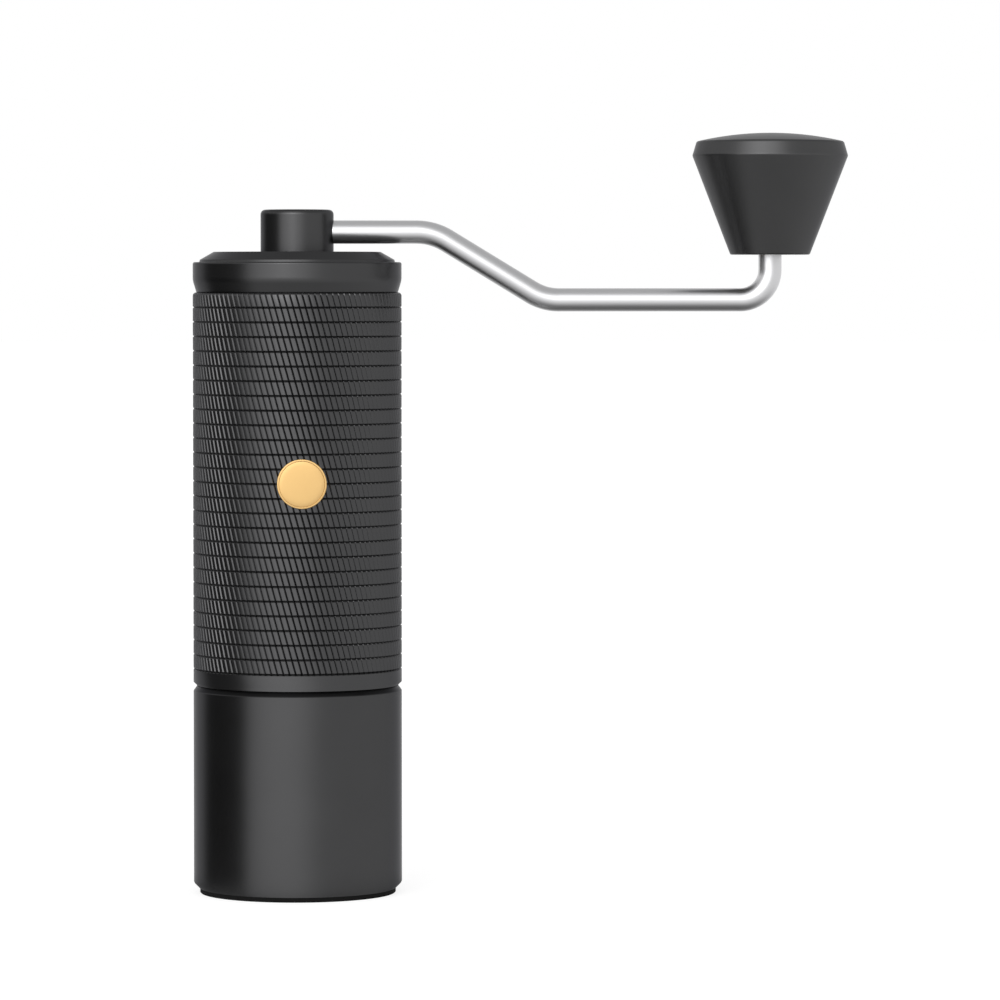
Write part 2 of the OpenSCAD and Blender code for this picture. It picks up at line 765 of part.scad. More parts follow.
// The toothed hollow of the ring burr. It runs past both ends of the ring.
module ring_hollow() {
    function tooth_at(i) = rib_pitch / teeth_per_rib * (floor(i / 2) + [0, steep][i % 2]);
    rings([for (k = [-1:ring_steps + 1])
        let (h = ring_h * max(0, min(1, k / ring_steps)),
             past = k < 0 ? -over : k > ring_steps ? over : 0)
        [for (b = [rib_count - 1:-1:0], i = [ring_columns - 1:-1:0])
            let (a = tooth_at(i), t = b * rib_pitch + a - ring_twist(h),
                 r = ring_line(h) + ring_cut(a, h))
            [r * cos(t), r * sin(t), ring_z + h + past]]]);
}

module ring_burr() {
    color(steel)
    difference() {
        translate([0, 0, ring_z]) cylinder(h = ring_h, r = ring_r);
        ring_hollow();
    }
}

// ---- Springs ----

// A coil spring on the Z axis, with its end turns closed.
module coil(mean_r, wire_r, z, h, turns, steps, sides) {
    n = floor(turns * steps);
    function climb(t) =
        let (dead = 1 / turns, slow = 0.45)
        t < dead ? slow * t : t > 1 - dead ? 1 - slow * (1 - t)
        : slow * dead + (1 - 2 * slow * dead) * (t - dead) / (1 - 2 * dead);
    rings([for (k = [0:n])
        let (a = 360 * turns * k / n, zc = z + wire_r + (h - 2 * wire_r) * climb(k / n))
        [for (i = [0:sides - 1])
            let (b = -360 * i / sides, r = mean_r + wire_r * cos(b))
            [r * cos(a), r * sin(a), zc + wire_r * sin(b)]]]);
}

module burr_spring() {
    color(steel) coil(spring_r, spring_wire / 2, spring_z, spring_h, spring_turns, 14, 6);
}

// ---- Grind adjustment ----

detent_r = (click_d / 2 + shaft_r) / 2;
detent_hole = detent_d / 2 + free_gap;
detent_z = click_z - free_gap - detent_d / 2;
detent_floor = dial_top - detent_depth;

module click_plate() {
    dimple_depth = 0.35;
    color(bright)
    difference() {
        flat_tube(click_d / 2, click_z, burr_z);
        for (k = [0:click_count - 1])
            rotate([0, 0, k * 360 / click_count])
            translate([detent_r, 0, click_z + dimple_depth - detent_d / 2 - run_fit])
            sphere(r = detent_d / 2 + run_fit);
    }
}

// A disc that slides on the shaft's flats.
module flat_tube(r, z0, z1) {
    difference() {
        translate([0, 0, z0]) cylinder(h = z1 - z0, r = r);
        flatted_bar(shaft_r + run_fit, flat_af + 2 * run_fit, z0 - over, z1 + over);
    }
}

module adjust_dial() {
    dial_r = dial_d / 2;
    scallop_r = 2.2;
    scallop_out = 0.64;
    boss_w = 2.5;
    boss_h = 1;
    edge = 0.6;
    boss_r = thread_d / 2 + boss_w;
    color(bright)
    difference() {
        turned([[0, dial_z], [boss_r, dial_z], [boss_r, dial_z + boss_h],
                [dial_r - boss_h, dial_z + boss_h], [dial_r, dial_z + 2 * boss_h],
                [dial_r, dial_top - edge], [dial_r - edge, dial_top], [0, dial_top]]);
        translate([0, 0, dial_z - over]) cylinder(h = dial_h + 2 * over, r = thread_d / 2 + run_fit);
        translate([0, 0, flat_z - dial_up - free_gap]) cylinder(h = far, r = shaft_r + free_gap);
        for (k = [0:scallop_count - 1])
            rotate([0, 0, (k + 0.5) * 360 / scallop_count])
            translate([dial_r + scallop_r * scallop_out, 0, dial_z - over])
            cylinder(h = dial_h + 2 * over, r = scallop_r);
        for (x = [-detent_r, detent_r])
            translate([x, 0, detent_floor]) cylinder(h = far, r = detent_hole);
    }
}

module detent_balls() {
    color(steel)
    for (x = [-detent_r, detent_r])
        translate([x, 0, detent_z]) sphere(d = detent_d);
}

module detent_springs() {
    wire_r = 0.15;
    spring_foot = detent_floor + 0.02;
    spring_head = detent_z - detent_d / 2 - seat_fit;
    color(steel)
    for (x = [-detent_r, detent_r])
        translate([x, 0, 0])
        coil(detent_hole - 2 * wire_r, wire_r, spring_foot, spring_head - spring_foot, 3, 10, 5);
}

// ---- Lid ----

rim_round = 0.5;
taper_round = 5;
crown_round = 0.25;
crown_draft = 0.2;
crown_r = body_r - lid_step;
crown_edge_h = 0.6;
shell_wall = 1.8;
crown_wall = 1.2;
shell_r = crown_r - crown_wall;
inner_bevel = 2.5;

module lid_shell() {
    foot = [body_r - lid_taper_w, lid_z];
    waist = [body_r, lid_z + lid_taper_h];
    brim = [body_r, lid_z + lid_rim_h];
    step = [crown_r, brim[1]];
    crown_foot = [crown_r - crown_draft, brim[1] + crown_edge_h];
    crown_top = [crown_foot[0] - crown_chamfer, lid_top];
    hole_r = barrel_r + 2 * free_gap;
    ceiling = lid_top - shell_wall;
    color(black)
    turned(concat(
        [[shell_r, lid_z], foot],
        fillet(foot, waist, brim, taper_round),
        fillet(waist, brim, step, rim_round),
        [step],
        fillet(step, crown_foot, crown_top, crown_round, 3),
        fillet(crown_foot, crown_top, [hole_r, lid_top], crown_round, 3),
        [[hole_r, lid_top], [hole_r, ceiling], [shell_r - inner_bevel, ceiling],
         [shell_r, ceiling - inner_bevel]]));
}

plug_fit = 0.4;
seal_seat = 0.87;
plug_bevel = 0.6;
plug_r = bore_r - plug_fit;
seal_groove_r = plug_r - lid_seal_d * seal_seat;
seal_mid = plug_z + plug_h / 2;

module lid_plug() {
    inner_r = shell_r - seat_fit;
    inner_top = lid_top - shell_wall - seat_fit;
    groove_half = lid_seal_d / 2 + free_gap;
    color(dark_plastic)
    turned([[barrel_r + run_fit, plug_z], [plug_r - plug_bevel, plug_z], [plug_r, plug_z + plug_bevel],
            [plug_r, seal_mid - groove_half], [seal_groove_r, seal_mid - groove_half],
            [seal_groove_r, seal_mid + groove_half], [plug_r, seal_mid + groove_half],
            [plug_r, sleeve_top], [inner_r, sleeve_top],
            [inner_r, inner_top - inner_bevel], [inner_r - inner_bevel, inner_top],
            [barrel_r + run_fit, inner_top]]);
}

module lid_seal() {
    color(rubber)
    rotate_extrude() translate([seal_groove_r + seat_fit + lid_seal_d / 2, seal_mid])
    circle(d = lid_seal_d);
}

// ---- Crank ----

hub_clip_t = 0.9;
hub_clip_depth = 0.7;
hub_clip_lip = 1.4;
hub_washer_t = 0.6;
hub_washer_w = 2;
hub_clip_z = plug_z - free_gap - hub_washer_t - hub_clip_t;
shaft_entry = 0.5;

module crank_hub() {
    hub_r = hub_d / 2;
    clip_groove_r = barrel_r - hub_clip_depth;
    // A round way in for the shaft, which ends past the foot of its six-sided head.
    entry_top = max(barrel_z, head_z) + shaft_entry;
    color(black)
    difference() {
        turned(concat(
            [[0, barrel_z], [barrel_r - chamfer, barrel_z], [barrel_r, barrel_z + chamfer],
             [barrel_r, hub_clip_z], [clip_groove_r, hub_clip_z],
             [clip_groove_r, hub_clip_z + hub_clip_t], [barrel_r, hub_clip_z + hub_clip_t],
             [barrel_r, lid_top], [hub_r, lid_top]],
            arc(hub_r - hub_round, hub_top - hub_round, hub_round, 0, 90),
            [[0, hub_top]]));
        hex_bar(socket_af, barrel_z - over, socket_top);
        translate([0, 0, barrel_z - over])
            cylinder(h = entry_top - barrel_z + over, r = shaft_r + 2 * free_gap);
        translate([-rod_end, 0, arm_z]) rotate([0, 90, 0])
            cylinder(h = far, r = rod_r + seat_fit);
        translate([0, 0, socket_top - over])
            cylinder(h = arm_z - socket_top + over, r = pin_r + seat_fit);
    }
}

pin_r = pin_d / 2;
bend_lap = 0.25;
bend_swell = 0.01;
slope = atan(arm_drop / (slope_end - slope_start));

module hub_washer() {
    washer_top = plug_z - free_gap / 2;
    color(bright)
    tube(barrel_r + hub_washer_w, barrel_r + run_fit, washer_top - hub_washer_t, washer_top);
}

module hub_circlip() {
    color(steel)
    circlip(barrel_r - hub_clip_depth, barrel_r + hub_clip_lip, hub_clip_z + clip_play,
            hub_clip_t - 2 * clip_play, 5);
}

// A straight length of rod from a point in the XZ plane, at an angle above +X.
// Where it meets a bend it laps into it, and the bend is a trace thicker.
module straight(x, z, angle, length, lap0 = bend_lap, lap1 = bend_lap) {
    translate([x, 0, z]) rotate([0, 90 - angle, 0]) translate([0, 0, -lap0])
        cylinder(h = length + lap0 + lap1, r = rod_r);
}

// A bend of the rod in the XZ plane, about a centre there, between two angles above +X.
module bend(x, z, radius, a0, a1) {
    translate([x, 0, z]) rotate([90, 0, 0]) rotate([0, 0, a0])
    rotate_extrude(angle = a1 - a0) translate([radius, 0]) circle(r = rod_r + bend_swell);
}

module crank_arm() {
    cut_upper = bend_upper * tan(slope / 2);
    cut_lower = bend_lower * tan(slope / 2);
    slope_length = arm_drop / sin(slope) - cut_upper - cut_lower;
    start_x = slope_start - cut_upper;
    low_x = slope_end + cut_lower;
    knob_side = crank_reach - bend_knob;
    spindle_z = low_arm_z + bend_knob;
    color(bright)
    difference() {
        union() {
            straight(-rod_end, arm_z, 0, start_x + rod_end, lap0 = 0);
            bend(start_x, arm_z - bend_upper, bend_upper, 90 - slope, 90);
            straight(slope_start + cut_upper * cos(slope), arm_z - cut_upper * sin(slope),
                     -slope, slope_length);
            bend(low_x, low_arm_z + bend_lower, bend_lower, -90 - slope, -90);
            straight(low_x, low_arm_z, 0, knob_side - low_x);
            bend(knob_side, spindle_z, bend_knob, -90, 0);
            straight(crank_reach, spindle_z, 90, spindle_top - spindle_z, lap1 = 0);
        }
        translate([0, 0, socket_top]) cylinder(h = arm_z - socket_top, r = pin_r + seat_fit);
        translate([crank_reach, 0, spindle_top - screw_h]) cylinder(h = far, r = screw_r + seat_fit);
    }
}

module arm_pin() {
    color(steel)
    translate([0, 0, socket_top]) cylinder(h = arm_z - socket_top - free_gap, r = pin_r);
}

// ---- Knob ----

bush_r = rod_r + run_fit + bush_wall;
spindle_top = knob_z + spindle_h;
knob_floor = spindle_top - free_gap;
knob_foot_round = 0.5;
bush_inset = 0.3;
bush_lip = 0.4;
bush_lip_h = 1.2;
bush_stop_z = knob_floor - bush_lip_h;
screw_r = screw_d / 2;
screw_head_r = 2.8;
screw_head_h = 2.2;
screw_key_af = 2.5;
screw_key_h = 1.4;
knob_washer_t = 0.8;
well_r = 7;

// The dome over the knob, and the inset cap that is its middle.
dome_edge_r = knob_d_high / 2 - knob_bevel_w;
dome_r = (dome_edge_r * dome_edge_r + knob_dome * knob_dome) / (2 * knob_dome);
dome_z = knob_rim + knob_dome - dome_r;
dome_land = 1.2;
cap_t = 0.8;
cap_r = dome_edge_r - dome_land;
cap_seat_z = knob_rim - cap_t;
cap_plug_h = 1.4;
function dome_height(r) = dome_z + sqrt(dome_r * dome_r - r * r);

module knob_body() {
    foot = [knob_d_low / 2, knob_z];
    widest = [knob_d_high / 2, knob_cone_top];
    rim = [dome_edge_r, knob_rim];
    cap_edge = [cap_r + run_fit, dome_height(cap_r + run_fit)];
    bore = [bush_r + seat_fit, knob_z];
    stop_r = bush_r - bush_lip;
    color(black)
    translate([crank_reach, 0, 0])
    turned(concat(
        [bore],
        fillet(bore, foot, widest, knob_foot_round),
        fillet(foot, widest, rim, knob_round),
        fillet(widest, rim, cap_edge, knob_round),
        [cap_edge, [cap_edge[0], cap_seat_z], [well_r, cap_seat_z], [well_r, knob_floor],
         [stop_r, knob_floor], [stop_r, bush_stop_z], [bore[0], bush_stop_z]]));
}

module knob_cap() {
    edge = asin(cap_r / dome_r);
    color(black)
    translate([crank_reach, 0, 0])
    turned(concat(
        [[0, cap_seat_z - cap_plug_h], [well_r - seat_fit, cap_seat_z - cap_plug_h],
         [well_r - seat_fit, cap_seat_z], [cap_r, cap_seat_z]],
        arc(0, dome_z, dome_r, 90 - edge, 90, 10)));
}

module knob_bushes() {
    color(gold)
    translate([crank_reach, 0, 0])
    for (z = [knob_z + bush_inset, bush_stop_z - free_gap - bush_h])
        tube(bush_r, rod_r + run_fit, z, z + bush_h);
}

module knob_washer() {
    color(steel)
    translate([crank_reach, 0, 0])
    tube(well_r - knob_washer_t, screw_r + seat_fit, spindle_top, spindle_top + knob_washer_t);
}

module knob_screw() {
    screw_z = spindle_top - screw_h + free_gap;
    head_z0 = spindle_top + knob_washer_t;
    head_top = head_z0 + screw_head_h;
    color(steel)
    translate([crank_reach, 0, 0])
    difference() {
        turned([[0, screw_z], [screw_r, screw_z], [screw_r, head_z0], [screw_head_r, head_z0],
                [screw_head_r, head_top], [0, head_top]]);
        hex_bar(screw_key_af, head_top - screw_key_h, head_top + over);
    }
}

cup_shell();
cup_foot();
neck_seal();
body_sleeve();
badge();
hopper_liner();
upper_spider();
lower_spider();
burr_housing();
ring_burr();
burr_lock_ring();
upper_bearing_outer();
upper_bearing_inner();
upper_bearing_balls();
upper_bearing_cage();
upper_bearing_shields();
lower_bearing_outer();
lower_bearing_inner();
lower_bearing_balls();
lower_bearing_cage();
lower_bearing_shields();
drive_shaft();
shaft_circlips();
spring_washer();
inner_burr();
burr_spring();
click_plate();
adjust_dial();
detent_balls();
detent_springs();
lid_shell();
lid_plug();
lid_seal();
crank_hub();
hub_washer();
hub_circlip();
crank_arm();
arm_pin();
knob_body();
knob_cap();
knob_bushes();
knob_washer();
knob_screw();
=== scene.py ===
# %% [markdown]
# # A hand coffee grinder
#
# The construction of this grinder is a imported CAD model: every piece is there at its real size and
# rides on the body that moves it. This notebook adds what the eye needs: the knurled grip, the
# screw threads, a smooth copy of the spring, the finish of every surface, soft light and a camera.

# %% Load the frame
import json
import math

import bmesh
import bpy
from mathutils import Matrix, Vector


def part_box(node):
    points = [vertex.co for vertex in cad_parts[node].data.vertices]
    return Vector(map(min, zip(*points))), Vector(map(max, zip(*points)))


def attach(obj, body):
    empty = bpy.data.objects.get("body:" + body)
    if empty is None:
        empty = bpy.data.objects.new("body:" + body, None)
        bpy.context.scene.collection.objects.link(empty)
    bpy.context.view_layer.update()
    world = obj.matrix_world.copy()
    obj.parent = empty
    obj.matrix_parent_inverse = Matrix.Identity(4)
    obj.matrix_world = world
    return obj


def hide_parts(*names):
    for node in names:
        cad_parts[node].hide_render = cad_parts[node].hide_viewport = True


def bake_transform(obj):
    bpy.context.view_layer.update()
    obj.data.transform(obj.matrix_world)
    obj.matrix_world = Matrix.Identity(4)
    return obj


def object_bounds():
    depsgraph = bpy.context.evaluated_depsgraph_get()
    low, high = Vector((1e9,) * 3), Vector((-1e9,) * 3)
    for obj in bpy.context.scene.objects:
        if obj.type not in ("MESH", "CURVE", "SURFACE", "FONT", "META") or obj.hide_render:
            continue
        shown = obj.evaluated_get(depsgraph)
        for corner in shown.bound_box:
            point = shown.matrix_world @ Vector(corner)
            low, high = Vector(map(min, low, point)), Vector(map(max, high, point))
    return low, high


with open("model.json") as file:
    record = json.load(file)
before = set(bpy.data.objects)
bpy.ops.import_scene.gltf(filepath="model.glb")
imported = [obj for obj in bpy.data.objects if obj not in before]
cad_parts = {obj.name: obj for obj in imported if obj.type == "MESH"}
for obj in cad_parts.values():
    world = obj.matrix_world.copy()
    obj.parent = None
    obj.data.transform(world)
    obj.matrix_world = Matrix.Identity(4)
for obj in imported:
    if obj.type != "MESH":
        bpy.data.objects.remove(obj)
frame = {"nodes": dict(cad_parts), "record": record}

MM = 0.001
TURN = 2 * math.pi
nodes = frame["nodes"]
cad_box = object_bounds()
print("CAD box, mm:", [[round(c / MM, 2) for c in corner] for corner in cad_box])

# %% [markdown]
# ## Sizes
#
# The new pieces must sit exactly where the CAD pieces are. So their sizes are read from the boxes
# of the CAD nodes, and only what a box can't say, such as the pitch of a thread, is a number here.
# Meshes are worked out in millimetres, as on a drawing, and turned to metres when they are made.

# %% Read sizes from the frame
def low_high(node):
    """Lowest and highest corner of a node, in millimetres."""
    low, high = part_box(node)
    return low / MM, high / MM


sleeve_low, sleeve_high = low_high("body_sleeve")
cup_low, cup_high = low_high("cup_shell")
body_r = sleeve_high.x
print("sleeve from", round(sleeve_low.z, 2), "to", round(sleeve_high.z, 2), "mm")
print("cup up to", round(cup_high.z, 2), "mm; radius of both", round(body_r, 2), "mm")

# %% [markdown]
# ## Camera
#
# A product picture is taken from far away with a long lens, so that upright sides stay parallel.
# The camera stands at the height of the lid, a little to the left, and looks slightly down. The
# crank then reaches to the right and the badge sits just right of the middle.

# %% Place the camera
CAMERA_TURN = math.radians(-4.5)
CLIP_END = 20


def place_camera(eye_height, distance, lens, aim_shift):
    """A camera turned about the shaft's axis, which looks at a point near the box's middle."""
    middle = (cad_box[0] + cad_box[1]) / 2
    swing = Matrix.Rotation(CAMERA_TURN, 3, "Z")
    aim = Vector((middle.x, 0, middle.z)) + aim_shift
    eye = swing @ Vector((aim.x, -distance, eye_height))
    aim = swing @ aim
    data = bpy.data.cameras.new("product_camera")
    data.lens = lens
    data.clip_end = CLIP_END
    camera = bpy.data.objects.new("product_camera", data)
    camera.location = eye
    camera.rotation_euler = (aim - eye).to_track_quat("-Z", "Y").to_euler()
    bpy.context.scene.collection.objects.link(camera)
    bpy.context.scene.camera = camera
    return camera


camera = place_camera(eye_height=0.1530, distance=1.354, lens=195.5,
                      aim_shift=Vector((-0.0055, 0, 0.0032)))
print("camera at", [round(c, 3) for c in camera.location])

# %% [markdown]
# ## Sums on sockets
#
# A finish is a small net of nodes. Wiring it by hand hides the idea, so one class wraps a socket
# and gives it the arithmetic signs: `1 - mask` adds the Math node that does it. A soft step is
# needed as often as a sum, so it is here too.

# %% A socket that does sums
class Wire:
    """An output socket that adds a Math node for each sign it meets."""

    def __init__(self, finish, socket):
        self.finish = finish
        self.socket = socket

    def _sum(self, operation, a, b):
        return self.finish.node("ShaderNodeMath", {"operation": operation}, {0: a, 1: b})

    def __add__(self, other):
        return self._sum("ADD", self, other)

    def __radd__(self, other):
        return self._sum("ADD", other, self)

    def __sub__(self, other):
        return self._sum("SUBTRACT", self, other)

    def __rsub__(self, other):
        return self._sum("SUBTRACT", other, self)

    def __mul__(self, other):
        return self._sum("MULTIPLY", self, other)

    def __rmul__(self, other):
        return self._sum("MULTIPLY", other, self)

    def __truediv__(self, other):
        return self._sum("DIVIDE", self, other)

    def __rtruediv__(self, other):
        return self._sum("DIVIDE", other, self)

    def __pow__(self, other):
        return self._sum("POWER", self, other)

    def __rpow__(self, other):
        return self._sum("POWER", other, self)

    def between(self, low, high):
        """A soft step: 0 below low, 1 above high. With low above high it falls instead."""
        return self.finish.node("ShaderNodeMapRange", {"interpolation_type": "SMOOTHSTEP"},
                                {"Value": self, "From Min": low, "From Max": high})


print("sockets can do sums now")

# %% [markdown]
# A finish owns a node tree. Every node comes from one method, `node`, which takes the type, the
# settings and the values of its sockets. The patterns start from the place of a point on the
# grinder at rest, in metres, so a pattern has its real size and stays on its piece when the piece
# moves. Lathe work leaves rings about an axis; drawn and ground bars have lines along them; blasted
# and moulded skins have a fine even grain. Each pattern is a noise with another stretch.

# %% A finish and its patterns
LINE_STRETCH = 24        # how much longer than wide a drawn line is


class Finish:
    """A material, or the world, with helpers that add nodes to its tree."""

    def __init__(self, owner, **constants):
        self.owner = owner
        owner.use_nodes = True
        self.tree = owner.node_tree
        self.shader = self.tree.nodes.get("Principled BSDF")
        for name, value in constants.items():
            self.look(name.replace("_", " ").title().replace("Ior", "IOR"), value)

    def put(self, node, name, value):
        """Sets one input of a node to a number, a colour or a wire."""
        socket = node.inputs[name]
        if isinstance(value, Wire):
            self.tree.links.new(value.socket, socket)
        else:
            if isinstance(value, tuple) and len(value) == 3 and socket.type == "RGBA":
                value = (*value, 1)
            socket.default_value = value

    def node(self, kind, settings, inputs, output=0):
        """Adds a node: its settings first, then the values or wires of its inputs."""
        node = self.tree.nodes.new(kind)
        for name, value in settings.items():
            setattr(node, name, value)
        for name, value in inputs.items():
            self.put(node, name, value)
        return Wire(self, node.outputs[output])

    def look(self, name, value):
        """Feeds one input of the shader."""
        self.put(self.shader, name, value)

    def mix(self, share, a, b):
        """A colour between a and b."""
        return self.node("ShaderNodeMix", {"data_type": "RGBA"}, {0: share, 6: a, 7: b}, output=2)

    def place(self):
        """Where a point is on the grinder at rest, in metres."""
        return self.node("ShaderNodeTexCoord", {}, {}, output="Object")

    def parts(self, vector):
        """The three numbers of a vector."""
        split = self.node("ShaderNodeSeparateXYZ", {}, {0: vector})
        return [Wire(self, output) for output in split.socket.node.outputs]

    def noise(self, size, where=None, detail=2.0):
        """A soft noise from 0 to 1 whose blobs are about this many metres wide."""
        return self.node("ShaderNodeTexNoise", {},
                         {"Vector": where or self.place(), "Scale": 1 / size, "Detail": detail})

    def drawn(self, along):
        """A place squeezed along one axis, so that a noise there draws out into lines."""
        squeeze = [1.0, 1.0, 1.0]
        squeeze[along] = 1 / LINE_STRETCH
        return self.node("ShaderNodeVectorMath", {"operation": "MULTIPLY"},
                         {0: self.place(), 1: tuple(squeeze)})

    def turned(self):
        """Distance from the shaft's axis, and height. A noise there makes the rings of a lathe."""
        x, y, z = self.parts(self.place())
        return self.node("ShaderNodeCombineXYZ", {}, {0: (x * x + y * y) ** 0.5, 1: z})

    def bump(self, height, depth):
        """Makes the surface look raised by height times depth metres."""
        self.look("Normal", self.node("ShaderNodeBump", {}, {"Height": height, "Distance": depth}))


def new_finish(name, **constants):
    return Finish(bpy.data.materials.new(name), **constants)


print("finishes can be made now")

# %% [markdown]
# ## The room
#
# What gives dark satin metal its shape is what it mirrors. Here that is a bright room with a soft
# glow in front to the left, a dark screen at the left side, and less light from far above and
# below. The room is the world, written as a function of direction: strips about the upright axis,
# times a profile over height. A function has no grain, where a big lamp would. Widths are degrees
# to each side of a strip's middle. Heights go from -1, straight down, to 1, straight up. The camera
# sees plain white instead, and metal mirrors the room.

# %% The room as a function of direction
FRONT = math.radians(-90) + CAMERA_TURN        # the camera's side of the room
SCREEN_DARK = 0.92
GLOW_GAIN = 3
LEAST_BELOW = 0.13
LOST_ABOVE = 0.4
world = bpy.data.worlds.new("studio")
bpy.context.scene.world = world


def strip(x, y, flat, centre, inner, outer):
    """1 within inner degrees of an azimuth, 0 beyond outer degrees, counted from the front."""
    angle = FRONT + math.radians(centre)
    lean = (x * math.cos(angle) + y * math.sin(angle)) / flat
    return lean.between(math.cos(math.radians(outer)), math.cos(math.radians(inner)))


def build_world():
    room = Finish(world)
    x, y, z = room.parts(room.node("ShaderNodeTexCoord", {}, {}, output="Generated"))
    flat = (x * x + y * y + 0.0001) ** 0.5
    screen = strip(x, y, flat, centre=-90, inner=27, outer=38)
    screen = screen * z.between(0.4, 0.02) * z.between(-0.95, -0.3)
    glow = strip(x, y, flat, centre=-16, inner=0, outer=46)
    glow = glow * z.between(-0.35, 0.6) * z.between(1.0, 0.45)
    below = z.between(-1.05, -0.3) * (1 - LEAST_BELOW) + LEAST_BELOW
    above = 1 - z.between(0.2, 0.8) * LOST_ABOVE
    strength = below * above * (1 - screen * SCREEN_DARK) * (1 + glow * GLOW_GAIN)
    seen = room.node("ShaderNodeLightPath", {}, {}, output="Is Camera Ray")
    background = room.tree.nodes["Background"]
    room.put(background, "Color", (1.0, 1.0, 1.0))
    room.put(background, "Strength", seen + (1 - seen) * strength)


build_world()
print("the room has", len(world.node_tree.nodes), "nodes")

# %% [markdown]
# ## Soft box and floor
#
# One soft box in front to the left gives the gentle shadow on the floor. The floor is a round disc
# of one face, with three looks by the kind of ray. The camera sees it near white, so that it melts
# into the backdrop and only the shadow stays. Light that scatters sees plain pale paint. Mirrors
# see it close to the foot only, and the room's dark lower part beyond.

# %% A soft box
def add_soft_box(name, place, aim, width, height, radiance):
    """An area lamp of an even glow. Its power follows from the glow and the area."""
    data = bpy.data.lights.new(name, "AREA")
    data.shape = "RECTANGLE"
    data.size = width
    data.size_y = height
    data.energy = radiance * math.pi * width * height
    lamp = bpy.data.objects.new(name, data)
    lamp.location = place
    lamp.rotation_euler = (aim - place).to_track_quat("-Z", "Y").to_euler()
    lamp.visible_camera = False
    bpy.context.scene.collection.objects.link(lamp)


add_soft_box("front_soft_box", Vector((-0.42, -1.3, 0.6)), Vector((0, 0, 0.1)),
             width=0.36, height=0.7, radiance=2.0)
bpy.context.scene.view_settings.view_transform = "Standard"
print("the soft box is set")

# %% [markdown]
# The floor's paint has one value for light that scatters. What the camera sees is split in two: a
# glow that no shadow dims, and a weak paint that the shadow falls on. A Mix Shader makes the floor
# clear for mirrors beyond a ring about the foot.

# %% The floor
FLOOR_R = 12
FLOOR_DROP = 0.02 * MM
FLOOR_STEPS = 96
PAINT = (0.8, 0.8, 0.8)
SEEN_PAINT = (0.3, 0.3, 0.3)
SEEN_GLOW = (0.8, 0.8, 0.8)
MIRRORED_OUT_TO = (0.03, 0.06)


def floor_paint():
    """The floor's material, with a look for each kind of ray."""
    paint = new_finish("pale_floor", roughness=0.9, base_color=PAINT, specular_ior_level=0.0)
    camera_ray = paint.node("ShaderNodeLightPath", {}, {}, output="Is Camera Ray")
    glossy_ray = paint.node("ShaderNodeLightPath", {}, {}, output="Is Glossy Ray")
    paint.look("Base Color", paint.mix(camera_ray, PAINT, SEEN_PAINT))
    paint.look("Emission Strength", 1.0)
    paint.look("Emission Color", paint.mix(camera_ray, (0.0, 0.0, 0.0), SEEN_GLOW))
    x, y, _ = paint.parts(paint.place())
    near = ((x * x + y * y) ** 0.5).between(MIRRORED_OUT_TO[1], MIRRORED_OUT_TO[0])
    painted = Wire(paint, paint.shader.outputs[0])
    clear = paint.node("ShaderNodeBsdfTransparent", {}, {})
    surface = paint.node("ShaderNodeMixShader", {},
                         {0: glossy_ray * (1 - near), 1: painted, 2: clear})
    paint.put(paint.tree.nodes["Material Output"], "Surface", surface)
    return paint


def add_floor():
    """The floor, just under the grinder's foot."""
    angles = [TURN * k / FLOOR_STEPS for k in range(FLOOR_STEPS)]
    rim = [(FLOOR_R * math.cos(a), FLOOR_R * math.sin(a), -FLOOR_DROP) for a in angles]
    mesh = bpy.data.meshes.new("floor")
    mesh.from_pydata(rim, [], [list(range(FLOOR_STEPS))])
    mesh.materials.append(floor_paint().owner)
    floor = bpy.data.objects.new("floor", mesh)
    bpy.context.scene.collection.objects.link(floor)


add_floor()
print("the floor is", 2 * FLOOR_R, "m across")

# %% [markdown]
# ## Meshes from rows of points
#
# The grip and the screw threads are skins over rows of points, each row one loop or one section.
# `skin` joins neighbouring rows with four-sided faces. It is the one maker of faces here, so the
# shape of a piece is only a matter of where its points go.

# %% Skins over rows
def skin(rows, closed_rows, loop):
    """Points and faces over rows of points. A loop joins the last row to the first."""
    count = len(rows[0])
    points = [point for row in rows for point in row]
    faces = []
    for j in range(len(rows) if loop else len(rows) - 1):
        a, b = j * count, (j + 1) % len(rows) * count
        for i in range(count if closed_rows else count - 1):
            k = (i + 1) % count
            faces.append((a + i, a + k, b + k, b + i))
    return points, faces


def smooth(piece, sharp):
    """Shades a piece smooth but for edges sharper than an angle in degrees."""
    piece.data.shade_smooth()
    piece.data.set_sharp_from_angle(angle=math.radians(sharp))


def new_piece(name, points, faces, sharp=30):
    """An object from points in millimetres, with its faces turned outward."""
    mesh = bpy.data.meshes.new(name)
    mesh.from_pydata([Vector(point) * MM for point in points], [], faces)
    work = bmesh.new()
    work.from_mesh(mesh)
    bmesh.ops.recalc_face_normals(work, faces=work.faces)
    work.to_mesh(mesh)
    work.free()
    piece = bpy.data.objects.new(name, mesh)
    bpy.context.scene.collection.objects.link(piece)
    smooth(piece, sharp)
    return piece


print("skins are ready")

# %% [markdown]
# ## The knurled grip
#
# The real sleeve is turned from aluminium tube. A wheel rolls slanted ribs into it, then a tool
# cuts a ring groove every few millimetres. So the skin here is one loop of points for each height
# that matters: the lips and the bottom of each ring groove, and the rounded top edge, over which
# the ribs run out. Along a loop each rib has six points: a V-shaped groove and a crest that swells
# by a hundredth of a millimetre or two. The pattern turns with height, which gives the slant.

